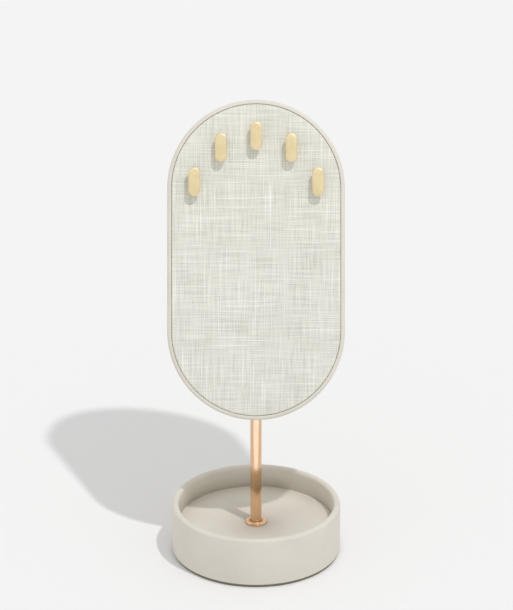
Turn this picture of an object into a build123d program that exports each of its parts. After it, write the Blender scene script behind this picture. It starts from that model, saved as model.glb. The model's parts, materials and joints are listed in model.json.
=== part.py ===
# Necklace stand: a wrapped tray base, a turning post and a leaning panel with linen and hooks.
# Millimetres, +Z up, front towards -Y, origin at the centre of the foot pad's underside.
import os

from build123d import *

os.makedirs("parts", exist_ok=True)

# Fits and cuts
FIT_CLEARANCE = 0.05  # all round a glued or screwed piece
RUN_CLEARANCE = 0.05  # all round a turning piece
OVERRUN = 1.0  # how far a cut runs past the face it starts from

# Coverings
SKIN = 0.7  # leatherette
LINEN_THICK = 0.5

# Base tray
BASE_DIA = 109.0
BASE_HEIGHT = 34.0
BASE_WALL = 4.4
BASE_RIM_ROUND = 1.9
BASE_FOOT_ROUND = 0.5
BASE_TURN_IN = 9.0  # leatherette turned in under the tray
TRAY_FLOOR_THICK = 9.0
FLOOR_CARD_THICK = 1.0
PAD_THICK = 2.0
PAD_SET_IN = 1.2

# Ballast
WEIGHT_DIA = 84.0
WEIGHT_THICK = 6.0
WEIGHT_BORE = 17.0
WEIGHT_SCREW_COUNT = 3
WEIGHT_SCREW_HEAD = 6.0
WEIGHT_SCREW_SHANK = 3.0
WEIGHT_SCREW_BITE = 4.0  # into the tray floor

# Turning foot of the post
BUSH_DIA = 10.4
BUSH_FLANGE_DIA = 15.0
BUSH_FLANGE_THICK = 1.0
BUSH_SEAT_THICK = 1.0
THRUST_WASHER_THICK = 0.5
SPIGOT_DIA = 4.0
FRICTION_WASHER_DIA = 10.0
FRICTION_WASHER_THICK = 0.4
NUT_ACROSS_FLATS = 7.0
NUT_THICK = 2.2
SPIGOT_PROUD = 0.8  # below the nut
ROSETTE_DIA = 14.0
ROSETTE_THICK = 1.4
ROSETTE_EDGE = 0.6
ROSETTE_COLLAR_DIA = 9.4
ROSETTE_GAP = 0.3  # all round the post

# Post
POST_DIA = 7.2
POST_WALL = 1.1
FOOT_PLUG_LENGTH = 24.0
TOP_PLUG_LENGTH = 20.0  # in the post
TENON_DIA = 4.4
TENON_LENGTH = 40.0  # in the panel
POST_TOP = 93.0  # height where the axis meets the panel's lower edge
POST_SCREW_FIRST = 12.0  # above the panel's lower edge
POST_SCREW_STEP = 16.0
POST_SCREW_COUNT = 2
POST_SCREW_BITE = 1.2  # past the tenon's axis

# Panel
PANEL_WIDTH = 114.0
PANEL_HEIGHT = 205.5
PANEL_THICK = 13.0
PANEL_LEAN = 26.0  # degrees back from upright
PANEL_EDGE_ROUND = 1.8
RIM_WIDTH = 2.2  # frame seen round the linen
INSERT_GAP = 0.5  # dark line between frame and linen
INSERT_SET_BACK = 0.2
INSERT_EDGE_ROUND = 1.0
PADDING_THICK = 0.8
BOARD_THICK = 1.5
LINEN_TURN_IN = 12.0
BACK_COVER_THICK = 1.2
BACK_COVER_GAP = 0.3
BACK_COVER_ROUND = 0.4

# Hooks
HOOK_PLATE_WIDTH = 7.5
HOOK_PLATE_HEIGHT = 18.3
HOOK_PLATE_THICK = 2.0
HOOK_PLATE_ROUND = 0.6
HOOK_STANDOFF = 4.4  # linen to plate
HOOK_STEM_DIA = 4.4
HOOK_SCREW_BITE = 4.0  # into the stem
PANEL_SCREW_HEAD = 5.0
PANEL_SCREW_SHANK = 2.5

# Plate centres across the panel and below its top, as shares of its width
HOOK_PLACE_SHARES = [(-0.348, 0.464), (-0.198, 0.272), (0, 0.206), (0.198, 0.272), (0.348, 0.464)]

# Radii that several pieces share
base_radius = BASE_DIA / 2
tray_radius = base_radius - BASE_WALL
core_inner_radius = tray_radius + SKIN
post_radius = POST_DIA / 2
post_bore_radius = post_radius - POST_WALL
plug_radius = post_bore_radius - FIT_CLEARANCE
tenon_radius = TENON_DIA / 2
spigot_radius = SPIGOT_DIA / 2
bush_radius = BUSH_DIA / 2
weight_radius = WEIGHT_DIA / 2
weight_screw_ring = (weight_radius + WEIGHT_BORE / 2) / 2

# Heights in the base, from the pad upwards: the weight lies above the turned-in leatherette
core_bottom = PAD_THICK + SKIN
weight_top = core_bottom + WEIGHT_THICK
bush_bottom = weight_top - BUSH_FLANGE_THICK
friction_washer_bottom = bush_bottom - FRICTION_WASHER_THICK
nut_bottom = friction_washer_bottom - NUT_THICK
spigot_bottom = nut_bottom - SPIGOT_PROUD
bush_seat = weight_top + BUSH_SEAT_THICK
post_bottom = bush_seat + THRUST_WASHER_THICK
card_bottom = weight_top + TRAY_FLOOR_THICK
lining_bottom = card_bottom + FLOOR_CARD_THICK
floor_top = lining_bottom + SKIN

# Depths in the panel, from its front face backwards
padding_depth = INSERT_SET_BACK + LINEN_THICK
board_depth = padding_depth + PADDING_THICK
turn_in_depth = board_depth + BOARD_THICK
recess_depth = turn_in_depth + LINEN_THICK
back_recess_depth = PANEL_THICK - BACK_COVER_THICK
tenon_depth = (recess_depth + back_recess_depth) / 2
insert_inset = RIM_WIDTH + INSERT_GAP

# Panel's own frame, on the post's axis at the panel's lower edge: x across, y up the panel, z to its front
upright_frame = Plane((0, 0, POST_TOP), x_dir=(1, 0, 0), z_dir=(0, -1, 0))
panel_frame = upright_frame.rotated((-PANEL_LEAN, 0, 0))
panel_axis = Axis(panel_frame.origin, panel_frame.z_dir)
panel_foot = Plane(panel_frame.origin, x_dir=panel_frame.x_dir, z_dir=panel_frame.y_dir)

# Hook places up the panel: each stem shares the centre of its plate's lower round end
stem_drop = (HOOK_PLATE_HEIGHT - HOOK_PLATE_WIDTH) / 2
stem_places = [
    (across * PANEL_WIDTH, PANEL_HEIGHT - drop * PANEL_WIDTH - stem_drop)
    for across, drop in HOOK_PLACE_SHARES
]
stem_length = board_depth - INSERT_SET_BACK + HOOK_STANDOFF


def panel_plane(depth, across=0, height=PANEL_HEIGHT / 2):
    """Plane that faces the panel's front, at a depth behind its front face."""
    origin = panel_frame.from_local_coords((across, height, tenon_depth - depth))
    return Plane(origin, x_dir=panel_frame.x_dir, z_dir=panel_frame.z_dir)


def stadium(inset):
    """Upright outline with round ends, set in from the panel's outside."""
    SlotOverall(PANEL_HEIGHT - 2 * inset, PANEL_WIDTH - 2 * inset, rotation=90)


def panel_blank(inset):
    """Slab with rounded edges, set in from the panel's outside on every face."""
    with BuildPart() as blank:
        with BuildSketch(panel_plane(inset)):
            stadium(inset)
        extrude(amount=2 * inset - PANEL_THICK)
        fillet(blank.faces().filter_by(panel_axis).edges(), PANEL_EDGE_ROUND - inset)
    return blank.part


def insert_blank(inset):
    """Slab of the linen insert with a rounded front edge, set in from its outside on every face."""
    with BuildPart() as blank:
        with BuildSketch(panel_plane(INSERT_SET_BACK + inset)):
            stadium(insert_inset + inset)
        extrude(amount=INSERT_SET_BACK + 2 * inset - recess_depth)
        fillet(blank.faces().sort_by(panel_axis)[-1].edges(), INSERT_EDGE_ROUND - inset)
    return blank.part


def countersunk_screw(head_dia, shank_dia, length):
    """Screw that stands on its flat head at the origin and points up."""
    head_depth = (head_dia - shank_dia) / 2
    with BuildPart() as screw:
        with BuildSketch(Plane.XZ):
            with BuildLine():
                Polyline(
                    (0, 0),
                    (head_dia / 2, 0),
                    (shank_dia / 2, head_depth),
                    (shank_dia / 2, length),
                    (0, length),
                    close=True,
                )
            make_face()
        revolve(axis=Axis.Z)
    return screw.part


def from_back(across, height):
    """Place of a screw whose head lies on the panel core's back face and points to the front."""
    return panel_plane(back_recess_depth, across, height).location


# Screws and the holes that take them
weight_screw_length = WEIGHT_THICK + WEIGHT_SCREW_BITE
hook_screw_length = back_recess_depth - board_depth + HOOK_SCREW_BITE
post_screw_length = back_recess_depth - tenon_depth + POST_SCREW_BITE
weight_screw = countersunk_screw(WEIGHT_SCREW_HEAD, WEIGHT_SCREW_SHANK, weight_screw_length)
weight_screw_hole = countersunk_screw(
    WEIGHT_SCREW_HEAD + 2 * FIT_CLEARANCE,
    WEIGHT_SCREW_SHANK + 2 * FIT_CLEARANCE,
    weight_screw_length + FIT_CLEARANCE,
)
hook_screw = countersunk_screw(PANEL_SCREW_HEAD, PANEL_SCREW_SHANK, hook_screw_length)
hook_screw_hole = countersunk_screw(
    PANEL_SCREW_HEAD + 2 * FIT_CLEARANCE,
    PANEL_SCREW_SHANK + 2 * FIT_CLEARANCE,
    hook_screw_length + FIT_CLEARANCE,
)
post_screw = countersunk_screw(PANEL_SCREW_HEAD, PANEL_SCREW_SHANK, post_screw_length)
post_screw_hole = countersunk_screw(
    PANEL_SCREW_HEAD + 2 * FIT_CLEARANCE,
    PANEL_SCREW_SHANK + 2 * FIT_CLEARANCE,
    post_screw_length + FIT_CLEARANCE,
)
post_screw_heights = [POST_SCREW_FIRST + step * POST_SCREW_STEP for step in range(POST_SCREW_COUNT)]
hook_screw_places = [from_back(across, height) for across, height in stem_places]
post_screw_places = [from_back(0, height) for height in post_screw_heights]

# Foot pad: dark disc, a little smaller than the base
with BuildPart() as base_pad:
    with BuildSketch():
        Circle(base_radius - PAD_SET_IN)
    extrude(amount=PAD_THICK)
base_pad.part.label = "base_pad"
export_step(base_pad.part, "parts/base_pad.step")

# Tray core: turned cup with a pocket for the weight below and a hole for the bush
with BuildPart() as base_tray_core:
    with BuildSketch(Plane.XZ) as core_profile:
        with BuildLine():
            Polyline(
                (base_radius - SKIN, core_bottom),
                (base_radius - SKIN, BASE_HEIGHT - SKIN),
                (core_inner_radius, BASE_HEIGHT - SKIN),
                (core_inner_radius, card_bottom),
                (bush_radius + FIT_CLEARANCE, card_bottom),
                (bush_radius + FIT_CLEARANCE, weight_top),
                (weight_radius + FIT_CLEARANCE, weight_top),
                (weight_radius + FIT_CLEARANCE, core_bottom),
                close=True,
            )
        make_face()
        fillet(core_profile.vertices().group_by(Axis.Y)[-1], BASE_RIM_ROUND - SKIN)
    revolve(axis=Axis.Z)
    with Locations((0, 0, core_bottom)):
        with PolarLocations(weight_screw_ring, WEIGHT_SCREW_COUNT):
            add(weight_screw_hole, mode=Mode.SUBTRACT)
base_tray_core.part.label = "base_tray_core"
export_step(base_tray_core.part, "parts/base_tray_core.step")

# Base wrap: one skin from under the foot, up the outside, over the rim and down to the tray floor
with BuildPart() as base_wrap:
    with BuildSketch(Plane.XZ) as wrap_profile:
        with BuildLine():
            Polyline(
                (base_radius - BASE_TURN_IN, PAD_THICK),
                (base_radius, PAD_THICK),
                (base_radius, BASE_HEIGHT),
                (tray_radius, BASE_HEIGHT),
                (tray_radius, floor_top),
                (core_inner_radius, floor_top),
                (core_inner_radius, BASE_HEIGHT - SKIN),
                (base_radius - SKIN, BASE_HEIGHT - SKIN),
                (base_radius - SKIN, core_bottom),
                (base_radius - BASE_TURN_IN, core_bottom),
                close=True,
            )
        make_face()
        rim_corners = wrap_profile.vertices().group_by(Axis.Y)
        foot_corner = rim_corners[0].sort_by(Axis.X)[-1]
        fillet(rim_corners[-1], BASE_RIM_ROUND)
        fillet(rim_corners[-2], BASE_RIM_ROUND - SKIN)
        fillet(foot_corner, BASE_FOOT_ROUND)
    revolve(axis=Axis.Z)
base_wrap.part.label = "base_wrap"
export_step(base_wrap.part, "parts/base_wrap.step")

# Tray floor: a card disc and the lining on it
with BuildPart() as tray_floor_card:
    with BuildSketch(Plane.XY.offset(card_bottom)):
        Circle(core_inner_radius - FIT_CLEARANCE)
        Circle(bush_radius + FIT_CLEARANCE, mode=Mode.SUBTRACT)
    extrude(amount=FLOOR_CARD_THICK)
tray_floor_card.part.label = "tray_floor_card"
export_step(tray_floor_card.part, "parts/tray_floor_card.step")

with BuildPart() as tray_lining:
    with BuildSketch(Plane.XY.offset(lining_bottom)):
        Circle(core_inner_radius - FIT_CLEARANCE)
        Circle(bush_radius + FIT_CLEARANCE, mode=Mode.SUBTRACT)
    extrude(amount=SKIN)
tray_lining.part.label = "tray_lining"
export_step(tray_lining.part, "parts/tray_lining.step")

# Ballast disc and its screws, driven from below
with BuildPart() as base_weight:
    with BuildSketch(Plane.XY.offset(core_bottom)):
        Circle(weight_radius)
        Circle(WEIGHT_BORE / 2, mode=Mode.SUBTRACT)
    extrude(amount=WEIGHT_THICK)
    with Locations((0, 0, core_bottom)):
        with PolarLocations(weight_screw_ring, WEIGHT_SCREW_COUNT):
            add(weight_screw_hole, mode=Mode.SUBTRACT)
base_weight.part.label = "base_weight"
export_step(base_weight.part, "parts/base_weight.step")

with BuildPart() as weight_screws:
    with Locations((0, 0, core_bottom)):
        with PolarLocations(weight_screw_ring, WEIGHT_SCREW_COUNT):
            add(weight_screw)
weight_screws.part.label = "weight_screws"
export_step(weight_screws.part, "parts/weight_screws.step")

# Swivel bush: flange under the tray floor, a wide bore for the post over a narrow one for the spigot
with BuildPart() as swivel_bush:
    with BuildSketch(Plane.XZ):
        with BuildLine():
            Polyline(
                (spigot_radius + RUN_CLEARANCE, bush_bottom),
                (BUSH_FLANGE_DIA / 2, bush_bottom),
                (BUSH_FLANGE_DIA / 2, weight_top),
                (bush_radius, weight_top),
                (bush_radius, floor_top),
                (post_radius + RUN_CLEARANCE, floor_top),
                (post_radius + RUN_CLEARANCE, bush_seat),
                (spigot_radius + RUN_CLEARANCE, bush_seat),
                close=True,
            )
        make_face()
    revolve(axis=Axis.Z)
swivel_bush.part.label = "swivel_bush"
export_step(swivel_bush.part, "parts/swivel_bush.step")

with BuildPart() as thrust_washer:
    with BuildSketch(Plane.XY.offset(bush_seat)):
        Circle(post_radius)
        Circle(spigot_radius + RUN_CLEARANCE, mode=Mode.SUBTRACT)
    extrude(amount=THRUST_WASHER_THICK)
thrust_washer.part.label = "thrust_washer"
export_step(thrust_washer.part, "parts/thrust_washer.step")

# Rosette: low dished ring on the lining that hides the bush
with BuildPart() as post_rosette:
    with BuildSketch(Plane.XZ):
        with BuildLine():
            Polyline(
                (ROSETTE_COLLAR_DIA / 2, floor_top + ROSETTE_THICK),
                (post_radius + ROSETTE_GAP, floor_top + ROSETTE_THICK),
                (post_radius + ROSETTE_GAP, floor_top),
                (ROSETTE_DIA / 2, floor_top),
                (ROSETTE_DIA / 2, floor_top + ROSETTE_EDGE),
            )
            RadiusArc(
                (ROSETTE_DIA / 2, floor_top + ROSETTE_EDGE),
                (ROSETTE_COLLAR_DIA / 2, floor_top + ROSETTE_THICK),
                -ROSETTE_DIA / 2,
            )
        make_face()
    revolve(axis=Axis.Z)
post_rosette.part.label = "post_rosette"
export_step(post_rosette.part, "parts/post_rosette.step")

# Post: plain tube from the thrust washer up to the panel, its top cut to the panel's lean
with BuildPart() as post_tube:
    with BuildSketch(Plane.XY.offset(post_bottom)):
        Circle(post_radius)
        Circle(post_bore_radius, mode=Mode.SUBTRACT)
    extrude(amount=POST_TOP + POST_DIA - post_bottom)
    split(bisect_by=panel_foot, keep=Keep.BOTTOM)
post_tube.part.label = "post_tube"
export_step(post_tube.part, "parts/post_tube.step")

# Foot plug: rod in the tube with a threaded spigot that runs down through the bush
with BuildPart() as post_foot_plug:
    with BuildSketch(Plane.XY.offset(post_bottom)):
        Circle(plug_radius)
    extrude(amount=FOOT_PLUG_LENGTH)
    with BuildSketch(Plane.XY.offset(spigot_bottom)):
        Circle(spigot_radius)
    extrude(amount=post_bottom - spigot_bottom)
post_foot_plug.part.label = "post_foot_plug"
export_step(post_foot_plug.part, "parts/post_foot_plug.step")

with BuildPart() as friction_washer:
    with BuildSketch(Plane.XY.offset(friction_washer_bottom)):
        Circle(FRICTION_WASHER_DIA / 2)
        Circle(spigot_radius + FIT_CLEARANCE, mode=Mode.SUBTRACT)
    extrude(amount=FRICTION_WASHER_THICK)
friction_washer.part.label = "friction_washer"
export_step(friction_washer.part, "parts/friction_washer.step")

with BuildPart() as lock_nut:
    with BuildSketch(Plane.XY.offset(nut_bottom)):
        RegularPolygon(NUT_ACROSS_FLATS / 2, side_count=6, major_radius=False)
        Circle(spigot_radius + FIT_CLEARANCE, mode=Mode.SUBTRACT)
    extrude(amount=NUT_THICK)
lock_nut.part.label = "lock_nut"
export_step(lock_nut.part, "parts/lock_nut.step")

# Top plug: rod in the tube, bent at the panel's edge into a tenon that the post screws cross
with BuildPart() as post_top_plug:
    with BuildSketch(Plane.XY.offset(POST_TOP - TOP_PLUG_LENGTH)):
        Circle(plug_radius)
    extrude(amount=TOP_PLUG_LENGTH + POST_DIA)
    split(bisect_by=panel_foot, keep=Keep.BOTTOM)
    with BuildSketch(panel_foot):
        Circle(tenon_radius)
    extrude(amount=TENON_LENGTH)
    with Locations(post_screw_places):
        add(post_screw_hole, mode=Mode.SUBTRACT)
post_top_plug.part.label = "post_top_plug"
export_step(post_top_plug.part, "parts/post_top_plug.step")

with BuildPart() as post_screws:
    with Locations(post_screw_places):
        add(post_screw)
post_screws.part.label = "post_screws"
export_step(post_screws.part, "parts/post_screws.step")

# Panel core: board with a deep recess in front, a shallow one behind and the tenon's socket below
panel_outside = panel_blank(0)
core_blank = panel_blank(SKIN)
with BuildPart() as panel_core:
    add(core_blank)
    with BuildSketch(panel_plane(recess_depth)):
        stadium(RIM_WIDTH)
    extrude(amount=recess_depth, mode=Mode.SUBTRACT)
    with BuildSketch(panel_plane(back_recess_depth)):
        stadium(RIM_WIDTH)
    extrude(amount=-BACK_COVER_THICK, mode=Mode.SUBTRACT)
    with BuildSketch(panel_foot):
        Circle(tenon_radius + FIT_CLEARANCE)
    extrude(amount=TENON_LENGTH + FIT_CLEARANCE, mode=Mode.SUBTRACT)
    with Locations(hook_screw_places):
        add(hook_screw_hole, mode=Mode.SUBTRACT)
    with Locations(post_screw_places):
        add(post_screw_hole, mode=Mode.SUBTRACT)
panel_core.part.label = "panel_core"
export_step(panel_core.part, "parts/panel_core.step")

# Panel wrap: leatherette skin round the core's edge, open at the linen and at the back cover
with BuildPart() as panel_wrap:
    add(panel_outside)
    add(core_blank, mode=Mode.SUBTRACT)
    with BuildSketch(panel_plane(SKIN)):
        stadium(RIM_WIDTH)
    extrude(amount=SKIN, mode=Mode.SUBTRACT)
    with BuildSketch(panel_plane(PANEL_THICK - SKIN)):
        stadium(RIM_WIDTH)
    extrude(amount=-SKIN, mode=Mode.SUBTRACT)
    with BuildSketch(panel_foot.offset(-OVERRUN)):
        Circle(tenon_radius + FIT_CLEARANCE)
    extrude(amount=SKIN + 2 * OVERRUN, mode=Mode.SUBTRACT)
panel_wrap.part.label = "panel_wrap"
export_step(panel_wrap.part, "parts/panel_wrap.step")

# Back cover: covered board, flush with the frame
with BuildPart() as back_cover:
    with BuildSketch(panel_plane(back_recess_depth)):
        stadium(RIM_WIDTH + BACK_COVER_GAP)
    extrude(amount=-BACK_COVER_THICK)
    fillet(back_cover.faces().sort_by(panel_axis)[0].edges(), BACK_COVER_ROUND)
back_cover.part.label = "back_cover"
export_step(back_cover.part, "parts/back_cover.step")

# Insert: stiff board, thin padding and the linen stretched over both and turned in behind
stem_hole_radius = HOOK_STEM_DIA / 2 + FIT_CLEARANCE
insert_outside = insert_blank(0)
padding_blank = insert_blank(LINEN_THICK)
with BuildPart() as insert_board:
    with BuildSketch(panel_plane(turn_in_depth)):
        stadium(insert_inset + LINEN_THICK)
    extrude(amount=BOARD_THICK)
    with Locations(hook_screw_places):
        add(hook_screw_hole, mode=Mode.SUBTRACT)
insert_board.part.label = "insert_board"
export_step(insert_board.part, "parts/insert_board.step")

with BuildPart() as insert_padding:
    add(padding_blank)
    with BuildSketch(panel_plane(turn_in_depth)):
        stadium(insert_inset)
    extrude(amount=BOARD_THICK, mode=Mode.SUBTRACT)
    for across, height in stem_places:
        with BuildSketch(panel_plane(board_depth, across, height)):
            Circle(stem_hole_radius)
        extrude(amount=PADDING_THICK, mode=Mode.SUBTRACT)
insert_padding.part.label = "insert_padding"
export_step(insert_padding.part, "parts/insert_padding.step")

with BuildPart() as linen_cover:
    add(insert_outside)
    add(padding_blank, mode=Mode.SUBTRACT)
    with BuildSketch(panel_plane(recess_depth)):
        stadium(insert_inset + LINEN_TURN_IN)
    extrude(amount=LINEN_THICK, mode=Mode.SUBTRACT)
    for across, height in stem_places:
        with BuildSketch(panel_plane(padding_depth, across, height)):
            Circle(stem_hole_radius)
        extrude(amount=LINEN_THICK, mode=Mode.SUBTRACT)
linen_cover.part.label = "linen_cover"
export_step(linen_cover.part, "parts/linen_cover.step")

# Hooks: a round stem on the board and a pill-shaped plate on the stem's end
plate_back_depth = board_depth - stem_length
for number, (across, height) in enumerate(stem_places, start=1):
    with BuildPart() as hook_stem:
        with BuildSketch(panel_plane(board_depth, across, height)):
            Circle(HOOK_STEM_DIA / 2)
        extrude(amount=stem_length)
        with Locations(from_back(across, height)):
            add(hook_screw_hole, mode=Mode.SUBTRACT)
    hook_stem.part.label = f"hook_stem_{number}"
    export_step(hook_stem.part, f"parts/hook_stem_{number}.step")

    with BuildPart() as hook_plate:
        with BuildSketch(panel_plane(plate_back_depth, across, height + stem_drop)):
            SlotOverall(HOOK_PLATE_HEIGHT, HOOK_PLATE_WIDTH, rotation=90)
        extrude(amount=HOOK_PLATE_THICK)
        fillet(hook_plate.faces().filter_by(panel_axis).edges(), HOOK_PLATE_ROUND)
    hook_plate.part.label = f"hook_plate_{number}"
    export_step(hook_plate.part, f"parts/hook_plate_{number}.step")

with BuildPart() as hook_screws:
    with Locations(hook_screw_places):
        add(hook_screw)
hook_screws.part.label = "hook_screws"
export_step(hook_screws.part, "parts/hook_screws.step")
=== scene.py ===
# %% [markdown]
# # Necklace stand
# A round tray covered in taupe leatherette carries a rose-gold post and a leaning panel of slubby linen
# with five pill-shaped hooks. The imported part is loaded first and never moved. Each covering, the hooks and
# the metal that shows are then built around it in metres, in the same frame.

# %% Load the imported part
import json
import math

import bmesh
import bpy
from mathutils import Matrix, Vector


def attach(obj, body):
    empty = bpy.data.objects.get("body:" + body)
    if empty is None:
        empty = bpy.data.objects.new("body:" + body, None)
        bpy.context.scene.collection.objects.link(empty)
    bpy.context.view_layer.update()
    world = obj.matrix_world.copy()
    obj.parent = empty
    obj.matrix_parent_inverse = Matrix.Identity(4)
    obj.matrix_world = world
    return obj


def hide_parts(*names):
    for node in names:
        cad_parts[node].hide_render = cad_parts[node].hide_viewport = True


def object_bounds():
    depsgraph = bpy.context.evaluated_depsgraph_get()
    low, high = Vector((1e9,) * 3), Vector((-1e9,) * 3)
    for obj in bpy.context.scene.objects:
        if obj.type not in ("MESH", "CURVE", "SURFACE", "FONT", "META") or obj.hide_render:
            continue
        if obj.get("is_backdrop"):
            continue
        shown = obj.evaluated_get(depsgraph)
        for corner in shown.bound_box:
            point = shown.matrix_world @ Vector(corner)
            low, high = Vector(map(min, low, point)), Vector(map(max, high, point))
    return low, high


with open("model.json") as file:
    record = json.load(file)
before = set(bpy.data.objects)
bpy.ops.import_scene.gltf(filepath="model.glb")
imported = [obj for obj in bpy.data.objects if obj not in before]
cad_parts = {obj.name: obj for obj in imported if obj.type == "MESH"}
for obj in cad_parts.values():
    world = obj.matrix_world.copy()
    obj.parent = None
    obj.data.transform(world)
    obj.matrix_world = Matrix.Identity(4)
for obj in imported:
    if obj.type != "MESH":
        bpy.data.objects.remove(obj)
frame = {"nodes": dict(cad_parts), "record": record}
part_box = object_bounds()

# %% [markdown]
# ## Sizes
# The real stand is cut, turned and sewn to a few sizes. They are kept in millimetres, as on a drawing, and
# turned into metres by one factor. The panel has its own frame: x across, y up the panel and z out of its
# front face, so everything on the panel is drawn flat and leaned back once, at the end.

# %% Sizes and the panel's frame
MM = 0.001
BASE_DIA, BASE_HEIGHT, BASE_WALL, PAD_THICK = 109.0, 34.0, 4.4, 2.0
FLOOR_TOP, SKIN = 19.4, 0.7
POST_DIA, POST_WALL, POST_BOTTOM, POST_TOP = 7.2, 1.1, 10.2, 93.0
PANEL_WIDTH, PANEL_HEIGHT, PANEL_THICK, PANEL_LEAN = 114.0, 205.5, 13.0, 26.0
TENON_DEPTH = 7.65  # post's axis behind the panel's front face, at its lower edge
HALF_STRAIGHT = (PANEL_HEIGHT - PANEL_WIDTH) / 2

panel_turn = math.radians(90 - PANEL_LEAN)
panel_up = Vector((0, math.sin(math.radians(PANEL_LEAN)), math.cos(math.radians(PANEL_LEAN))))
panel_out = Vector((0, -panel_up.z, panel_up.y))
panel_middle = Vector((0, 0, POST_TOP)) + panel_up * (PANEL_HEIGHT / 2) + panel_out * TENON_DEPTH
panel_place = Matrix.Translation(panel_middle * MM) @ Matrix.Rotation(panel_turn, 4, "X")
print("panel middle in mm", [round(v, 1) for v in panel_middle])

# %% [markdown]
# ## Camera
# The stand is seen from about 28 degrees above, through a long lens from three metres away, so the panel,
# which leans back by nearly the same angle, faces the lens and shows no thickness. A long lens keeps the
# round ends true; a short one would taper the panel.

# %% Camera
CAMERA_PLACE = (0.0003, -2.8692, 1.5265)
CAMERA_DIP = 25.228  # degrees below level
LENS, SENSOR = 294.57, 36.0
camera_data = bpy.data.cameras.new("camera")
camera_data.lens = LENS
camera_data.sensor_width = SENSOR
camera_data.clip_end = 50.0
camera = bpy.data.objects.new("camera", camera_data)
camera.location = CAMERA_PLACE
camera.rotation_euler = (math.radians(90 - CAMERA_DIP), 0, 0)
bpy.context.scene.collection.objects.link(camera)
bpy.context.scene.camera = camera
print("camera height", round(camera.location.z, 3), "lens", camera_data.lens)

# %% [markdown]
# ## Light
# One lamp stands over two metres up, to the right in front, and throws the panel's shadow to the left behind
# the stand. It is near enough to light the panel's top a little more, and for the tall panel's shadow to spread
# more than the low tray's; a sun lamp would do neither. Light on a flat table falls off with the third power of
# the ray's slant, so the nodes put that back and the table stays even in tone. The rest comes from a pale room,
# the world's colour: seven tenths of the light, so that the shadow stays pale. A light panel lies in front of
# the stand, just outside the picture. Only reflections see it, and it gives the post its bright upper half.

# %% Lamp, room and floor
ROOM_LIGHT = 0.72
FLOOR_TONE, FLOOR_REACH = 0.905, 6.0
LAMP_PLACE, LAMP_RADIUS = (0.647, -0.675, 2.2), 0.040
GLOW_X, GLOW_Y, GLOW_LIFT = (-0.15, 0.45), (-0.45, -0.085), 0.001
GLOW_COLOUR = (1.0, 1.09, 1.25, 1)  # a little cool
GLOW_FULL, GLOW_EDGE, GLOW_FADE = 1.32, 0.90, 0.030  # the edge near the stand fades over the last 30 mm


def wire(tree, kind, inputs=None, **settings):
    """Adds a node to a tree, sets its properties, and joins or sets its inputs."""
    node = tree.nodes.new(kind)
    for key, value in settings.items():
        setattr(node, key, value)
    for key, value in (inputs or {}).items():
        if isinstance(value, bpy.types.NodeSocket):
            tree.links.new(value, node.inputs[key])
        else:
            node.inputs[key].default_value = value
    return node


def flat_stage(name, x_ends, y_ends, height):
    """Flat rectangle that belongs to the stage, with the tree and the shader of its own material."""
    mesh = bpy.data.meshes.new(name)
    (left, right), (front, rear) = x_ends, y_ends
    corners = [(left, front), (right, front), (right, rear), (left, rear)]
    mesh.from_pydata([(x, y, height) for x, y in corners], [], [(0, 1, 2, 3)])
    sheet = bpy.data.objects.new(name, mesh)
    bpy.context.scene.collection.objects.link(sheet)
    paint = bpy.data.materials.new(name + "_paint")
    paint.use_nodes = True
    mesh.materials.append(paint)
    return sheet, paint.node_tree, paint.node_tree.nodes["Principled BSDF"]


lamp_data = bpy.data.lights.new("lamp", "POINT")
lamp_data.shadow_soft_size = LAMP_RADIUS
lamp_data.energy = (1 - ROOM_LIGHT) * (2 * math.pi * LAMP_PLACE[2]) ** 2
lamp_data.use_nodes = True
lamp_tree = lamp_data.node_tree
lamp_rays = wire(lamp_tree, "ShaderNodeNewGeometry")
ray = wire(lamp_tree, "ShaderNodeSeparateXYZ", {0: lamp_rays.outputs["Incoming"]})
steep = wire(lamp_tree, "ShaderNodeMath", {0: ray.outputs["Z"]}, operation="ABSOLUTE")
even = wire(lamp_tree, "ShaderNodeMath", {0: steep.outputs[0], 1: -3.0}, operation="POWER")
lamp_tree.links.new(even.outputs[0], lamp_tree.nodes["Emission"].inputs["Strength"])
lamp = bpy.data.objects.new("lamp", lamp_data)
lamp.location = LAMP_PLACE
bpy.context.scene.collection.objects.link(lamp)

room = bpy.data.worlds.new("room")
bpy.context.scene.world = room
room.use_nodes = True
room_tree = room.node_tree
path = wire(room_tree, "ShaderNodeLightPath")
seen = wire(room_tree, "ShaderNodeMath", {0: path.outputs["Is Camera Ray"], 1: path.outputs["Is Glossy Ray"]},
            operation="MAXIMUM")
seen = wire(room_tree, "ShaderNodeMath", {0: seen.outputs[0], 1: path.outputs["Is Transmission Ray"]},
            operation="MAXIMUM")
level = wire(room_tree, "ShaderNodeMapRange",
             {"Value": seen.outputs[0], "To Min": ROOM_LIGHT, "To Max": FLOOR_TONE})
back = room_tree.nodes["Background"]
back.inputs["Color"].default_value = (1.0, 1.0, 1.0, 1.0)
room_tree.links.new(level.outputs["Result"], back.inputs["Strength"])

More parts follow.
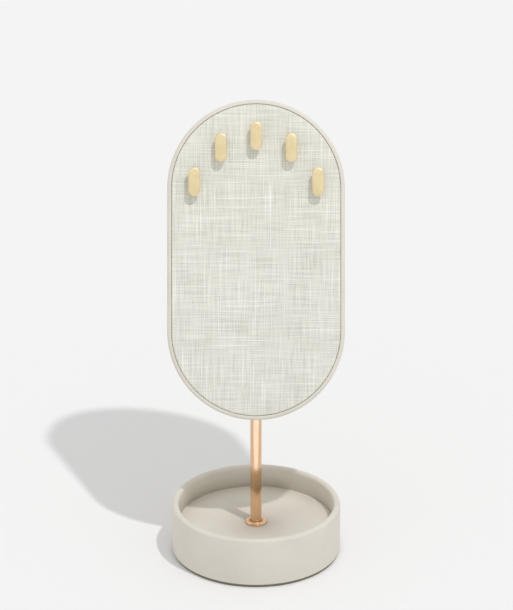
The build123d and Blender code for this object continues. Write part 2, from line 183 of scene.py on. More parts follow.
FLOOR_ENDS = (-FLOOR_REACH, FLOOR_REACH)
floor, _, floor_shader = flat_stage("floor", FLOOR_ENDS, FLOOR_ENDS, 0)
floor_shader.inputs["Base Color"].default_value = (FLOOR_TONE, FLOOR_TONE, FLOOR_TONE, 1)
floor_shader.inputs["Roughness"].default_value = 1.0
floor_shader.inputs["Specular IOR Level"].default_value = 0.0
floor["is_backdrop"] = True

light_panel, glow_tree, glow_shader = flat_stage("light_panel", GLOW_X, GLOW_Y, GLOW_LIFT)
glow_shader.inputs["Base Color"].default_value = (0, 0, 0, 1)
glow_shader.inputs["Emission Color"].default_value = GLOW_COLOUR
glow_spot = wire(glow_tree, "ShaderNodeNewGeometry")
glow_place = wire(glow_tree, "ShaderNodeSeparateXYZ", {0: glow_spot.outputs["Position"]})
glow_fade = wire(glow_tree, "ShaderNodeMapRange", {
    "Value": glow_place.outputs["Y"], "From Min": GLOW_Y[1] - GLOW_FADE, "From Max": GLOW_Y[1],
    "To Min": GLOW_FULL, "To Max": GLOW_EDGE,
})
glow_tree.links.new(glow_fade.outputs["Result"], glow_shader.inputs["Emission Strength"])
for kind in ("camera", "diffuse", "transmission", "volume_scatter", "shadow"):
    setattr(light_panel, "visible_" + kind, False)
light_panel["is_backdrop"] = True
print("lamp energy", round(lamp_data.energy, 3))

# %% [markdown]
# ## Finishes
# Every finish is a small tree of nodes that reads Object coordinates, so a grain keeps its real size on
# every piece. A colour ramp turns a pattern into close shades of one colour, and the same pattern, as a
# height, feeds a Bump node.


# %% Helpers for the finishes
def srgb(red, green, blue):
    """Linear colour from the 0 to 255 values of a colour chart."""
    values = [v / 255 for v in (red, green, blue)]
    return tuple(v / 12.92 if v <= 0.04045 else ((v + 0.055) / 1.055) ** 2.4 for v in values) + (1.0,)


def new_finish(name):
    """Node material with its tree, its shader and the Object coordinates."""
    finish = bpy.data.materials.new(name)
    finish.use_nodes = True
    tree = finish.node_tree
    where = wire(tree, "ShaderNodeTexCoord").outputs["Object"]
    return finish, tree, tree.nodes["Principled BSDF"], where


def shades(tree, value, stops):
    """Colour ramp with (position, colour) stops."""
    ramp = wire(tree, "ShaderNodeValToRGB", {"Fac": value})
    elements = ramp.color_ramp.elements
    while len(elements) < len(stops):
        elements.new(0.5)
    for element, (position, colour) in zip(elements, stops):
        element.position = position
        element.color = colour
    return ramp.outputs["Color"]


def spread(tree, value, low, high, to_low, to_high):
    """Value moved from one range to another, and held inside it."""
    return wire(tree, "ShaderNodeMapRange", {
        "Value": value, "From Min": low, "From Max": high, "To Min": to_low, "To Max": to_high,
    }).outputs["Result"]


def blend_values(tree, first, second, operation="ADD"):
    """Two values joined by one operation, a sum if none is named."""
    return wire(tree, "ShaderNodeMath", {0: first, 1: second}, operation=operation).outputs[0]


def stretched(tree, where, scale, detail):
    """Noise whose grains are drawn out: scale is grains per metre along x, y and z."""
    mapped = wire(tree, "ShaderNodeMapping", {"Vector": where, "Scale": scale})
    return wire(tree, "ShaderNodeTexNoise",
                {"Vector": mapped.outputs[0], "Scale": 1.0, "Detail": detail}).outputs["Fac"]


# %% [markdown]
# ## Leatherette
# The covering is a matt taupe leatherette with a fine pebble grain, just under a millimetre from pore to pore.
# Smooth Voronoi cells give the pebbles and two noises the fine skin and the slow change of tone. The strip
# round the tray meets at the back in a butt seam, drawn as a narrow groove where x is near zero.


# %% Leatherette
PEBBLES, PORES, CLOUDS = 1250.0, 3600.0, 42.0  # per metre
SEAM_HALF = (0.00008, 0.00022)  # full depth inside the first, none outside the second
SEAM_FROM = (0.052, 0.053)  # the seam starts behind these places


def leatherette(name, seam=False):
    """Matt pebbled covering, with a butt seam at the back if asked for."""
    finish, tree, skin, where = new_finish(name)
    pebbles = wire(tree, "ShaderNodeTexVoronoi", {"Vector": where, "Scale": PEBBLES, "Smoothness": 0.7},
                   feature="SMOOTH_F1").outputs["Distance"]
    pores = wire(tree, "ShaderNodeTexNoise", {"Vector": where, "Scale": PORES, "Detail": 3.0}).outputs["Fac"]
    tone = wire(tree, "ShaderNodeTexNoise", {"Vector": where, "Scale": CLOUDS, "Detail": 3.0}).outputs["Fac"]
    grain = blend_values(tree, spread(tree, pebbles, 0.1, 0.8, 0.62, 0.0),
                         spread(tree, pores, 0.3, 0.7, 0.0, 0.38))
    mix = blend_values(tree, spread(tree, grain, 0, 1, 0, 0.45), spread(tree, tone, 0.3, 0.7, 0.1, 0.45))
    height = grain
    if seam:
        parts = wire(tree, "ShaderNodeSeparateXYZ", {"Vector": where})
        across = blend_values(tree, parts.outputs["X"], 0.0, "ABSOLUTE")
        line = spread(tree, across, *SEAM_HALF, 1.0, 0.0)
        behind = spread(tree, parts.outputs["Y"], *SEAM_FROM, 0.0, 1.0)
        groove = blend_values(tree, line, behind, "MULTIPLY")
        height = blend_values(tree, grain, blend_values(tree, groove, 1.6, "MULTIPLY"), "SUBTRACT")
        mix = blend_values(tree, mix, blend_values(tree, groove, 0.8, "MULTIPLY"), "SUBTRACT")
    colour = shades(tree, mix, [
        (0.0, srgb(212, 207, 195)), (0.5, srgb(222, 217, 206)), (1.0, srgb(230, 225, 215)),
    ])
    tree.links.new(colour, skin.inputs["Base Color"])
    tree.links.new(spread(tree, grain, 0, 1, 0.66, 0.54), skin.inputs["Roughness"])
    skin.inputs["Specular IOR Level"].default_value = 0.35
    bump = wire(tree, "ShaderNodeBump", {"Strength": 0.35, "Distance": 0.00012, "Height": height})
    tree.links.new(bump.outputs["Normal"], skin.inputs["Normal"])
    return finish


leather = leatherette("leatherette")
tray_skin = leatherette("leatherette_tray", seam=True)
print("finishes", leather.name, tray_skin.name)

# %% [markdown]
# ## A skin swept round a path
# The tray's covering and the panel's covering follow one rule: a section drawn once and swept round a
# closed path. The path is a circle, and for the panel its upper and lower halves are pulled apart, which
# leaves two round ends with straight sides. Geometry Nodes build both, the floor disc and the rosette from
# one tree, so a size can be changed in one place. A lathe in mesh code would do the tray alone.


# %% Tree that sweeps a section
def new_tree(name, inputs):
    """Geometry tree with a geometry input and output and the named inputs."""
    tree = bpy.data.node_groups.new(name, "GeometryNodeTree")
    tree.interface.new_socket("Geometry", in_out="INPUT", socket_type="NodeSocketGeometry")
    for label, kind in inputs:
        tree.interface.new_socket(label, in_out="INPUT", socket_type="NodeSocket" + kind)
    tree.interface.new_socket("Geometry", in_out="OUTPUT", socket_type="NodeSocketGeometry")
    start = tree.nodes.new("NodeGroupInput").outputs
    end = tree.nodes.new("NodeGroupOutput").inputs
    return tree, start, end


def place_and_paint(tree, shape, start, end):
    """Leans and lifts a shape, then ends the tree in real meshes with a material."""
    turn = wire(tree, "ShaderNodeCombineXYZ", {"X": start["Turn"]})
    placed = wire(tree, "GeometryNodeTransform",
                  {"Geometry": shape, "Translation": start["Place"], "Rotation": turn.outputs[0]})
    real = wire(tree, "GeometryNodeRealizeInstances", {"Geometry": placed.outputs[0]})
    painted = wire(tree, "GeometryNodeSetMaterial", {"Geometry": real.outputs[0], "Material": start["Finish"]})
    tree.links.new(painted.outputs[0], end["Geometry"])


sweep_tree, start, end = new_tree("swept_skin", [
    ("Width", "Float"), ("Height", "Float"), ("Path points", "Int"), ("Section", "Object"),
    ("Corner steps", "Int"), ("Turn", "Float"), ("Place", "Vector"), ("Finish", "Material"),
])
half_turn = wire(sweep_tree, "ShaderNodeMath", {0: math.pi, 1: start["Path points"]}, operation="DIVIDE")
half_width = wire(sweep_tree, "ShaderNodeMath", {0: start["Width"], 1: 0.5}, operation="MULTIPLY")
circle = wire(sweep_tree, "GeometryNodeCurvePrimitiveCircle",
              {"Resolution": start["Path points"], "Radius": half_width.outputs[0]}, mode="RADIUS")
turned = wire(sweep_tree, "GeometryNodeTransform", {
    "Geometry": circle.outputs[0],
    "Rotation": wire(sweep_tree, "ShaderNodeCombineXYZ", {"Z": half_turn.outputs[0]}).outputs[0],
})
path_point = wire(sweep_tree, "GeometryNodeInputPosition")
path_place = wire(sweep_tree, "ShaderNodeSeparateXYZ", {"Vector": path_point.outputs[0]})
side = wire(sweep_tree, "ShaderNodeMath", {0: path_place.outputs["Y"]}, operation="SIGN")
longer = wire(sweep_tree, "ShaderNodeMath", {0: start["Height"], 1: start["Width"]}, operation="SUBTRACT")
apart = wire(sweep_tree, "ShaderNodeMath", {0: longer.outputs[0], 1: 0.5}, operation="MULTIPLY")
shift = wire(sweep_tree, "ShaderNodeMath", {0: side.outputs[0], 1: apart.outputs[0]}, operation="MULTIPLY")
round_ends = wire(sweep_tree, "GeometryNodeSetPosition", {
    "Geometry": turned.outputs[0],
    "Offset": wire(sweep_tree, "ShaderNodeCombineXYZ", {"Y": shift.outputs[0]}).outputs[0],
})
level_path = wire(sweep_tree, "GeometryNodeSetCurveNormal", {"Curve": round_ends.outputs[0]}, mode="Z_UP")
section = wire(sweep_tree, "GeometryNodeObjectInfo", {"Object": start["Section"]})
section_line = wire(sweep_tree, "GeometryNodeMeshToCurve", {"Mesh": section.outputs["Geometry"]})
rounding = wire(sweep_tree, "GeometryNodeInputNamedAttribute", {"Name": "rounding"}, data_type="FLOAT")
section_round = wire(sweep_tree, "GeometryNodeFilletCurve",
                     {"Curve": section_line.outputs[0], "Count": start["Corner steps"],
                      "Radius": rounding.outputs["Attribute"], "Limit Radius": True}, mode="POLY")
skin_mesh = wire(sweep_tree, "GeometryNodeCurveToMesh",
                 {"Curve": level_path.outputs[0], "Profile Curve": section_round.outputs[0]})
closed = wire(sweep_tree, "GeometryNodeMergeByDistance", {"Geometry": skin_mesh.outputs[0], "Distance": 1e-6})
smooth = wire(sweep_tree, "GeometryNodeSetShadeSmooth", {"Geometry": closed.outputs[0]})
place_and_paint(sweep_tree, smooth.outputs[0], start, end)
print("tree", sweep_tree.name, "nodes", len(sweep_tree.nodes))


# %% Helpers that run a tree and keep a plain mesh
def grown(name, mesh, tree, values):
    """Object whose mesh is what a geometry tree makes; the modifier is gone afterwards."""
    piece = bpy.data.objects.new(name, mesh)
    bpy.context.scene.collection.objects.link(piece)
    modifier = piece.modifiers.new("grow", "NODES")
    modifier.node_group = tree
    for item in tree.interface.items_tree:
        if item.item_type == "SOCKET" and item.in_out == "INPUT" and item.name in values:
            modifier[item.identifier] = values[item.name]
    view = bpy.context.evaluated_depsgraph_get()
    plain = bpy.data.meshes.new_from_object(piece.evaluated_get(view), depsgraph=view)
    piece.modifiers.remove(modifier)
    piece.data = plain
    plain.name = name
    return piece


def face_out(mesh):
    """Merges doubles and turns every face outwards."""
    work = bmesh.new()
    work.from_mesh(mesh)
    bmesh.ops.remove_doubles(work, verts=work.verts, dist=1e-6)
    bmesh.ops.recalc_face_normals(work, faces=work.faces)
    work.to_mesh(mesh)
    work.free()


CORNER_STEPS = 6


def swept(name, width, height, corners, finish, on_panel=False, path_points=180):
    """Skin swept round a path; corners are (outwards, up, rounding) in millimetres from the path."""
    mesh = bpy.data.meshes.new(name + "_section")
    count = len(corners)
    mesh.from_pydata([(x * MM, -y * MM, 0) for x, y, _ in corners],
                     [(i, (i + 1) % count) for i in range(count)], [])
    rounds = mesh.attributes.new("rounding", "FLOAT", "POINT")
    for item, (_, _, corner_round) in zip(rounds.data, corners):
        item.value = corner_round * MM
    drawn = bpy.data.objects.new(name + "_section", mesh)
    piece = grown(name, bpy.data.meshes.new(name + "_start"), sweep_tree, {
        "Width": width * MM, "Height": height * MM, "Path points": path_points, "Section": drawn,
        "Corner steps": CORNER_STEPS, "Turn": panel_turn if on_panel else 0.0,
        "Place": panel_middle * MM if on_panel else (0, 0, 0), "Finish": finish,
    })
    bpy.data.objects.remove(drawn)
    face_out(piece.data)
    return piece


# %% [markdown]
# ## Tray covering
# One strip of leatherette is turned in under the foot, runs up the outside, over the soft rim and down to
# the tray's floor. The section is a closed thin loop, so the skin has a real thickness. The floor is a
# separate disc, which leaves the fine dark line round its edge.

# %% Tray covering and floor disc
FOOT_TURN_IN, FOOT_ROUND, RIM_ROUND = 9.0, 0.5, 2.0
FLOOR_GAP, FLOOR_HOLE, FLOOR_ROUND = 0.1, 10.5, 0.35
wall_inside, wall_behind = -BASE_WALL, -BASE_WALL + SKIN
tray_leather = swept("tray_leather", BASE_DIA, BASE_DIA, [
    (-FOOT_TURN_IN, PAD_THICK, 0), (0, PAD_THICK, FOOT_ROUND),
    (0, BASE_HEIGHT, RIM_ROUND), (wall_inside, BASE_HEIGHT, RIM_ROUND),
    (wall_inside, FLOOR_TOP, 0), (wall_behind, FLOOR_TOP, 0),
    (wall_behind, BASE_HEIGHT - SKIN, RIM_ROUND - SKIN), (-SKIN, BASE_HEIGHT - SKIN, RIM_ROUND - SKIN),
    (-SKIN, PAD_THICK + SKIN, 0), (-FOOT_TURN_IN, PAD_THICK + SKIN, 0),
], tray_skin)
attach(tray_leather, "base")
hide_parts("base_wrap")

floor_width = BASE_DIA - 2 * (BASE_WALL - SKIN) - FLOOR_GAP
hole_edge = -floor_width / 2 + FLOOR_HOLE / 2
floor_leather = swept("floor_leather", floor_width, floor_width, [
    (0, FLOOR_TOP - SKIN, 0), (0, FLOOR_TOP, FLOOR_ROUND),
    (hole_edge, FLOOR_TOP, 0), (hole_edge, FLOOR_TOP - SKIN, 0),
], leather)
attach(floor_leather, "base")
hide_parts("tray_lining")
for piece in (tray_leather, floor_leather):
    print(piece.name, "faces", len(piece.data.polygons))

# %% [markdown]
# ## Panel covering
# The panel's edge is wrapped in the same leatherette, turned into the front recess and over the back. A
# narrow gap is left between this frame and the linen, and its shade draws the fine line seen round the linen.

# %% Panel covering
RIM, BACK_RIM = 2.56, 2.3  # frame seen in front and behind, lip included
LIP_BEHIND, RECESS, BACK_STEP = 2.15, 3.4, 1.1
PANEL_ROUND, LIP_ROUND, BACK_LIP_ROUND = 1.8, 0.5, 0.4
panel_leather = swept("panel_leather", PANEL_WIDTH, PANEL_HEIGHT, [
    (-RIM, -RECESS, 0), (-RIM, 0, LIP_ROUND), (0, 0, PANEL_ROUND), (0, -PANEL_THICK, PANEL_ROUND),
    (-BACK_RIM, -PANEL_THICK, BACK_LIP_ROUND), (-BACK_RIM, -PANEL_THICK + BACK_STEP, 0),
    (-LIP_BEHIND, -PANEL_THICK + BACK_STEP, 0), (-LIP_BEHIND, -PANEL_THICK + SKIN, 0),
    (-SKIN, -PANEL_THICK + SKIN, PANEL_ROUND - SKIN), (-SKIN, -SKIN, PANEL_ROUND - SKIN),
    (-LIP_BEHIND, -SKIN, 0), (-LIP_BEHIND, -RECESS, 0),
], leather, on_panel=True)
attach(panel_leather, "panel")
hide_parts("panel_wrap")
print(panel_leather.name, "faces", len(panel_leather.data.polygons))

# %% [markdown]
# ## Linen
# The front is a slubby plain-weave linen, stretched over thin wadding and turned in behind the board. The
# cloth is a set of nested round-ended rings, from the middle line out, round the soft edge and in behind,
# with a slight unevenness where the wadding gives. The weave follows the cloth, so it reads a UV map in
# metres along the warp and the weft. Noise drawn out along each direction gives threads of uneven thickness
# and tone, and a rarer, longer noise gives the thick slubs.


# %% Linen finish
WARP_RATE, WEFT_RATE = 5000.0, 4800.0  # radians per metre along the two threads


def ripple(tree, value, rate):
    """Sine wave along one direction of the cloth."""
    along = blend_values(tree, value, rate, "MULTIPLY")
    return wire(tree, "ShaderNodeMath", {0: along}, operation="SINE").outputs[0]


def linen_finish(name):
    """Plain weave with uneven threads and slubs, on the map named weave."""
    finish, tree, cloth, _ = new_finish(name)
    weave = wire(tree, "ShaderNodeUVMap", uv_map="weave").outputs["UV"]
    warp = stretched(tree, weave, (1500, 46, 1), 2.0)
    weft = stretched(tree, weave, (42, 1400, 1), 2.0)
    warp_slub = stretched(tree, weave, (1350, 19, 1), 1.0)
    weft_slub = stretched(tree, weave, (17, 1300, 1), 1.0)
    blotch = stretched(tree, weave, (60, 60, 1), 3.0)
    parts = wire(tree, "ShaderNodeSeparateXYZ", {"Vector": weave})
    cross = blend_values(tree, ripple(tree, parts.outputs["X"], WARP_RATE),
                         ripple(tree, parts.outputs["Y"], WEFT_RATE), "MULTIPLY")
    threads = blend_values(tree, spread(tree, warp, 0.25, 0.75, 0, 0.5), spread(tree, weft, 0.25, 0.75, 0, 0.5))
    slubs = blend_values(tree, spread(tree, warp_slub, 0.57, 0.71, 0, 0.42),
                         spread(tree, weft_slub, 0.58, 0.71, 0, 0.36))
    tone = blend_values(tree, threads, slubs)
    tone = blend_values(tree, tone, spread(tree, blotch, 0.3, 0.7, -0.05, 0.05))
    tone = blend_values(tree, tone, blend_values(tree, cross, 0.21, "MULTIPLY"))
    colour = shades(tree, tone, [
        (0.12, srgb(188, 190, 180)), (0.42, srgb(218, 218, 208)),
        (0.66, srgb(229, 228, 218)), (1.0, srgb(245, 243, 235)),
    ])
    tree.links.new(colour, cloth.inputs["Base Color"])
    height = blend_values(tree, tone, blend_values(tree, cross, 0.2, "MULTIPLY"))
    bump = wire(tree, "ShaderNodeBump", {"Strength": 0.5, "Distance": 0.00018, "Height": height})
    tree.links.new(bump.outputs["Normal"], cloth.inputs["Normal"])
    tree.links.new(spread(tree, tone, 0, 1, 0.95, 0.82), cloth.inputs["Roughness"])
    cloth.inputs["Specular IOR Level"].default_value = 0.2
    cloth.inputs["Sheen Weight"].default_value = 0.12
    cloth.inputs["Sheen Roughness"].default_value = 0.5
    return finish


linen = linen_finish("linen")


# %% Nested round-ended rings
def ring_points(half_width, half_straight, end_steps, side_steps):
    """Points round a shape with straight sides and round ends, starting at the right side."""
    points = []
    for side in (1, -1):
        for i in range(side_steps):
            points.append((side * half_width, side * half_straight * (2 * i / side_steps - 1)))
        for i in range(end_steps):
            angle = math.pi * i / end_steps
            points.append((side * half_width * math.cos(angle),
                           side * (half_straight + half_width * math.sin(angle))))
    return points


def ringed(name, rings, half_straight, end_steps=64, side_steps=46):
    """Mesh through rings of (half width, z) in metres; a ring of no width closes to a line."""
    work = bmesh.new()
    rows = []
    for half_width, z in rings:
        outline = ring_points(half_width, half_straight, end_steps, side_steps)
        rows.append([work.verts.new((x, y, z)) for x, y in outline])
    for low, high in zip(rows, rows[1:]):
        for i in range(len(low)):
            j = (i + 1) % len(low)
            work.faces.new((low[i], low[j], high[j], high[i]))
    bmesh.ops.remove_doubles(work, verts=work.verts, dist=1e-7)
    bmesh.ops.recalc_face_normals(work, faces=work.faces)
    mesh = bpy.data.meshes.new(name)
    work.to_mesh(mesh)
    work.free()
    mesh.shade_smooth()
    return mesh


# %% Linen cloth
INSERT_HALF = PANEL_WIDTH / 2 - 2.7
SET_BACK, EDGE_ROUND, EDGE_STEPS, FACE_RINGS = 0.2, 1.0, 6, 30
CLOTH_BACK, CLOTH_TURN_IN = -3.45, 12.0
MAP_SHIFT = 0.1  # keeps the weave's map above zero
GIVE, GIVE_DROP = 0.00006, 0.00002  # height of the unevenness, and how far it lies back
FRONT_ONLY = -0.0003  # points behind this don't give
edge_turns = [math.pi / 2 * i / EDGE_STEPS for i in range(EDGE_STEPS + 1)]
cloth_rings = [((INSERT_HALF - EDGE_ROUND) * i / FACE_RINGS, -SET_BACK) for i in range(FACE_RINGS)]
cloth_rings += [(INSERT_HALF - EDGE_ROUND * (1 - math.sin(a)), -SET_BACK - EDGE_ROUND * (1 - math.cos(a)))
                for a in edge_turns]
cloth_rings += [(INSERT_HALF, -2.0), (INSERT_HALF, -2.9), (INSERT_HALF - 0.25, -3.3)]
cloth_rings += [(INSERT_HALF - 1.0, CLOTH_BACK), (INSERT_HALF - CLOTH_TURN_IN, CLOTH_BACK)]
cloth_mesh = ringed("panel_linen", [(w * MM, z * MM) for w, z in cloth_rings], HALF_STRAIGHT * MM)
weave_map = cloth_mesh.uv_layers.new(name="weave")
for loop in cloth_mesh.loops:
    x, y, _ = cloth_mesh.vertices[loop.vertex_index].co
    weave_map.data[loop.index].uv = (x + MAP_SHIFT, y + MAP_SHIFT)
for vertex in cloth_mesh.vertices:
    x, y, z = vertex.co
    if z > FRONT_ONLY:
        give = math.sin(x * 91 + 1.3 * math.sin(y * 53)) * math.sin(y * 74 + 0.8 * math.sin(x * 61))
        vertex.co.z += GIVE * give - GIVE_DROP
cloth_mesh.transform(panel_place)
cloth_mesh.materials.append(linen)
panel_linen = bpy.data.objects.new("panel_linen", cloth_mesh)
bpy.context.scene.collection.objects.link(panel_linen)
print("panel_linen faces", len(cloth_mesh.polygons))

# %% [markdown]
# ## Wadding
# A thin wadding lies between the linen and the board and softens the linen's edge. It is a flat closed form
# with a rounded front edge, made with the same rings as the cloth.


# %% Wadding
def soft_white(name):
    """Bonded fibres: a fine tangled noise in near white."""
    finish, tree, fill, where = new_finish(name)
    tangle = wire(tree, "ShaderNodeTexNoise", {
        "Vector": where, "Scale": 900.0, "Detail": 5.0, "Distortion": 1.5,
    }).outputs["Fac"]
    colour = shades(tree, tangle, [(0.3, srgb(222, 221, 217)), (0.7, srgb(243, 242, 239))])
    tree.links.new(colour, fill.inputs["Base Color"])
    bump = wire(tree, "ShaderNodeBump", {"Strength": 0.6, "Distance": 0.0002, "Height": tangle})
    tree.links.new(bump.outputs["Normal"], fill.inputs["Normal"])
    fill.inputs["Roughness"].default_value = 0.95
    return finish


FILL_FRONT, FILL_BACK = -0.8, -1.45
pad_half = INSERT_HALF - 0.6
wadding_rings = [
    (0, FILL_FRONT), (pad_half * 0.5, FILL_FRONT), (pad_half - 0.5, FILL_FRONT), (pad_half - 0.15, -0.95),
    (pad_half, -1.2), (pad_half, FILL_BACK), (pad_half * 0.5, FILL_BACK), (0, FILL_BACK),
]
wadding_mesh = ringed("panel_wadding", [(w * MM, z * MM) for w, z in wadding_rings], HALF_STRAIGHT * MM,
                      end_steps=32, side_steps=12)
wadding_mesh.transform(panel_place)
wadding_mesh.materials.append(soft_white("wadding"))
panel_wadding = bpy.data.objects.new("panel_wadding", wadding_mesh)
bpy.context.scene.collection.objects.link(panel_wadding)
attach(panel_wadding, "panel")
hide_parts("insert_padding")
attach(panel_linen, "panel")
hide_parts("linen_cover")
print("panel_wadding faces", len(wadding_mesh.polygons))

# %% [markdown]
# ## Metals
# The post and rosette are satin rose gold, the hooks a paler gold. Both are metals, so their look comes
# from what they reflect: for the upper post the light panel and the table in front, for the lower post the
# tray. Noise drawn out along the post gives the faint draw marks of a tube, in the roughness and in a very
# low bump.


# %% Metals
def satin_metal(name, dark, light, rough, scale):
    """Plated metal with faint draw marks along the stretched noise."""
    finish, tree, metal, where = new_finish(name)
    marks = stretched(tree, where, scale, 3.0)
    cloud = wire(tree, "ShaderNodeTexNoise", {"Vector": where, "Scale": 130.0, "Detail": 3.0}).outputs["Fac"]
    mix = blend_values(tree, blend_values(tree, marks, 0.5, "MULTIPLY"),
                       blend_values(tree, cloud, 0.5, "MULTIPLY"))
    tree.links.new(shades(tree, mix, [(0.35, dark), (0.65, light)]), metal.inputs["Base Color"])
    tree.links.new(spread(tree, mix, 0.3, 0.7, rough - 0.04, rough + 0.05), metal.inputs["Roughness"])
    bump = wire(tree, "ShaderNodeBump", {"Strength": 0.12, "Distance": 0.00004, "Height": marks})
    tree.links.new(bump.outputs["Normal"], metal.inputs["Normal"])
    metal.inputs["Metallic"].default_value = 1.0
    return finish


rose_gold = satin_metal("rose_gold", srgb(220, 182, 145), srgb(230, 193, 156), 0.11, (2600, 2600, 60))
pale_gold = satin_metal("pale_gold", srgb(223, 204, 161), srgb(235, 218, 177), 0.42, (1500, 240, 1500))
print("metals", rose_gold.name, pale_gold.name)

# %% [markdown]
# ## Post and rosette
# The post is a plain drawn tube whose top is cut to the panel's lean. It is built with a smooth wall of many
# sides, because a reflection shows every facet. The rosette is a low ring with a flat bright rim and a
# hollow flare up to the post, swept with the tree from above.

# %% Post
SIDES = 96
outer, inner = POST_DIA / 2, POST_DIA / 2 - POST_WALL
slope = math.tan(math.radians(PANEL_LEAN))
wall_rows = [  # radius and height, where None is the slanted top
    (inner, None), (inner, POST_BOTTOM), (outer, POST_BOTTOM), (outer, 40.0), (outer, 70.0), (outer, None),
]
post_work = bmesh.new()
post_rows = []
for radius, z in wall_rows:
    row = []
    for i in range(SIDES):
        angle = 2 * math.pi * i / SIDES
        x, y = radius * math.cos(angle), radius * math.sin(angle)
        height = POST_TOP - y * slope if z is None else z
        row.append(post_work.verts.new((x * MM, y * MM, height * MM)))
    post_rows.append(row)
for low, high in zip(post_rows, post_rows[1:] + post_rows[:1]):
    for i in range(SIDES):
        j = (i + 1) % SIDES
        post_work.faces.new((low[i], low[j], high[j], high[i]))
bmesh.ops.recalc_face_normals(post_work, faces=post_work.faces)
post_mesh = bpy.data.meshes.new("post")
post_work.to_mesh(post_mesh)
post_work.free()
post_mesh.shade_smooth()
post_mesh.set_sharp_from_angle(angle=math.radians(40))
post_mesh.materials.append(rose_gold)
post = bpy.data.objects.new("post", post_mesh)
bpy.context.scene.collection.objects.link(post)
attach(post, "panel")
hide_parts("post_tube")
print("post faces", len(post_mesh.polygons))

# %% Rosette
ROSETTE_DIA = 14.0
ROSETTE_SECTION = [  # outwards, up from the tray's floor, rounding
    (0, 0, 0), (0, 0.75, 0.25), (-0.75, 0.75, 0.25), (-1.3, 0.45, 0.5),
    (-2.5, 0.65, 0.9), (-2.75, 1.4, 0.2), (-3.1, 1.4, 0.1), (-3.1, 0, 0),
]
rosette = swept("rosette", ROSETTE_DIA, ROSETTE_DIA, [(x, FLOOR_TOP + y, r) for x, y, r in ROSETTE_SECTION],
                rose_gold, path_points=SIDES)
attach(rosette, "base")
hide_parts("post_rosette")
print("rosette faces", len(rosette.data.polygons))

# %% [markdown]
# ## Hooks
# Five equal hooks stand in an arc on the linen: a pill-shaped plate with soft edges on a round stem. One hook
# is modelled, and Geometry Nodes put it on five points and lean them with the panel. They could be copied by
# hand, but the points keep the arc in one short list.

# %% One hook
PLATE_WIDTH, PLATE_HEIGHT, PLATE_THICK, STEM_DIA = 7.5, 18.3, 2.0, 4.4
PLATE_BACK = 4.2  # in front of the panel's face
SOFT, SOFT_STEPS = 0.6, 5  # the plate's rounded edge
STEM_FOOT, STEM_SIDES, STEM_MIDDLE = -1.45, 40, 0.02
half = PLATE_WIDTH / 2
stem_drop = (PLATE_HEIGHT - PLATE_WIDTH) / 2
quarter = [math.pi / 2 * i / SOFT_STEPS for i in range(SOFT_STEPS + 1)]
plate_rings = [(0, PLATE_THICK + 0.1), (half * 0.6, PLATE_THICK + 0.08)]
plate_rings += [(half - SOFT + SOFT * math.sin(a), PLATE_THICK - SOFT + SOFT * math.cos(a)) for a in quarter]
plate_rings += [(half - SOFT + SOFT * math.cos(a), SOFT - SOFT * math.sin(a)) for a in quarter] + [(0, 0)]
plate_mesh = ringed("hook", [(w * MM, (z + PLATE_BACK) * MM) for w, z in plate_rings], stem_drop * MM,
                    end_steps=24, side_steps=4)
hook_work = bmesh.new()
hook_work.from_mesh(plate_mesh)
for vertex in hook_work.verts:
    vertex.co.y += stem_drop * MM
stem_radius = STEM_DIA / 2
stem_wall = [
    (STEM_MIDDLE, STEM_FOOT), (stem_radius, STEM_FOOT), (stem_radius, PLATE_BACK - 0.5),
    (stem_radius + 0.15, PLATE_BACK - 0.2), (stem_radius + 0.5, PLATE_BACK + 0.02),
    (STEM_MIDDLE, PLATE_BACK + 0.02),
]
stem_turns = [2 * math.pi * i / STEM_SIDES for i in range(STEM_SIDES)]
stem_rows = []
for radius, z in stem_wall:
    stem_rows.append([hook_work.verts.new((radius * math.cos(a) * MM, radius * math.sin(a) * MM, z * MM))
                      for a in stem_turns])
for low, high in zip(stem_rows, stem_rows[1:]):
    for i in range(STEM_SIDES):
        j = (i + 1) % STEM_SIDES
        hook_work.faces.new((low[i], low[j], high[j], high[i]))
hook_work.faces.new(stem_rows[0])
hook_work.faces.new(stem_rows[-1])
bmesh.ops.recalc_face_normals(hook_work, faces=hook_work.faces)
hook_work.to_mesh(plate_mesh)
hook_work.free()
plate_mesh.shade_smooth()
plate_mesh.set_sharp_from_angle(angle=math.radians(50))
one_hook = bpy.data.objects.new("one_hook", plate_mesh)
print("one hook faces", len(plate_mesh.polygons))

# %% Five hooks on an arc of points
hook_tree, start, end = new_tree("hooks_on_points", [
    ("Hook", "Object"), ("Turn", "Float"), ("Place", "Vector"), ("Finish", "Material"),
])
hook_shape = wire(hook_tree, "GeometryNodeObjectInfo", {"Object": start["Hook"]})
hook_rows = wire(hook_tree, "GeometryNodeInstanceOnPoints",
                 {"Points": start["Geometry"], "Instance": hook_shape.outputs["Geometry"]})
place_and_paint(hook_tree, hook_rows.outputs[0], start, end)
# Each hook's place is a share of the panel's width: across from the middle, and down from the top.
HOOK_PLACES = [(-0.348, 0.464), (-0.198, 0.272), (0, 0.206), (0.198, 0.272), (0.348, 0.464)]
arc = bpy.data.meshes.new("hook_arc")
arc.from_pydata([(a * PANEL_WIDTH * MM, (PANEL_HEIGHT / 2 - d * PANEL_WIDTH - stem_drop) * MM, 0)
                 for a, d in HOOK_PLACES], [], [])
hooks = grown("hooks", arc, hook_tree,
              {"Hook": one_hook, "Turn": panel_turn, "Place": panel_middle * MM, "Finish": pale_gold})
bpy.data.objects.remove(one_hook)
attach(hooks, "panel")
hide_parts(*[f"hook_plate_{n}" for n in range(1, 6)], *[f"hook_stem_{n}" for n in range(1, 6)])
print("hooks faces", len(hooks.data.polygons))

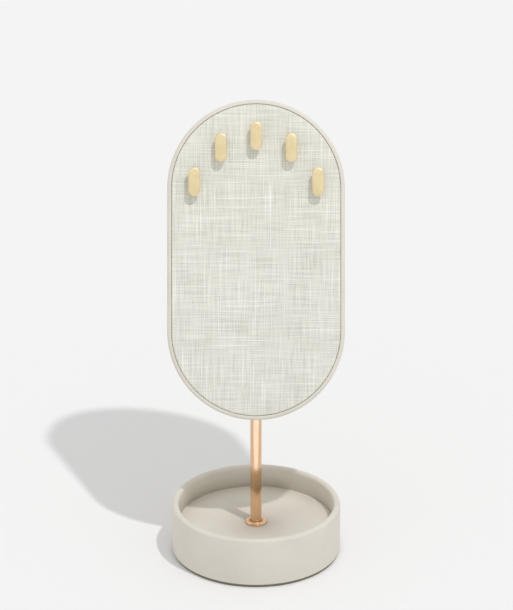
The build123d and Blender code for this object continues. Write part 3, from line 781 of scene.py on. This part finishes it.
# %% [markdown]
# ## Parts that keep their CAD shape
# The back cover, the foot pad and the pieces inside are already right in shape. They get finishes with a
# fibre, a fleck or a faint mill mark, so that a section or an open view looks true too.


# %% Finishes of the inner pieces
def flecked(name, dark, light, size, rough, metallic=0.0, drawn=(1, 1, 1)):
    """Even material with a fine fleck; size is flecks per metre, drawn stretches them."""
    finish, tree, body, where = new_finish(name)
    fleck = stretched(tree, where, tuple(size * d for d in drawn), 4.0)
    tree.links.new(shades(tree, fleck, [(0.3, dark), (0.7, light)]), body.inputs["Base Color"])
    tree.links.new(spread(tree, fleck, 0.3, 0.7, rough - 0.06, rough + 0.06), body.inputs["Roughness"])
    bump = wire(tree, "ShaderNodeBump", {"Strength": 0.3, "Distance": 0.0001, "Height": fleck})
    tree.links.new(bump.outputs["Normal"], body.inputs["Normal"])
    body.inputs["Metallic"].default_value = metallic
    return finish


slot_finishes = {
    "leatherette": leather,
    "steel": flecked("zinc_steel", srgb(190, 191, 193), srgb(214, 215, 217), 500, 0.34, 1.0, (1, 1, 0.2)),
    "board": flecked("fibreboard", srgb(186, 157, 122), srgb(210, 183, 148), 700, 0.85),
    "card": flecked("grey_board", srgb(176, 170, 156), srgb(198, 192, 178), 900, 0.9),
    "pad": flecked("foot_rubber", srgb(119, 112, 100), srgb(143, 135, 122), 1400, 0.88),
    "bush_plastic": flecked("acetal", srgb(228, 226, 219), srgb(238, 236, 230), 300, 0.42),
}
for entry in frame["record"]["subparts"]:
    finish = slot_finishes.get(entry["material_slot"])
    node = frame["nodes"][entry["node"]]
    if finish and not node.hide_render:
        node.data.materials.clear()
        node.data.materials.append(finish)
print("finishes", len(slot_finishes))

# %% [markdown]
# ## Picture
# The Standard view shows colours as they are written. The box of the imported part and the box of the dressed
# one are kept side by side, to see that no covering has grown past the part.

# %% View, sizes and end
bpy.context.scene.view_settings.view_transform = "Standard"
dressed_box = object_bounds()
for label, box in (("part", part_box), ("dressed", dressed_box)):
    print(label, [[round(v, 4) for v in corner] for corner in box])
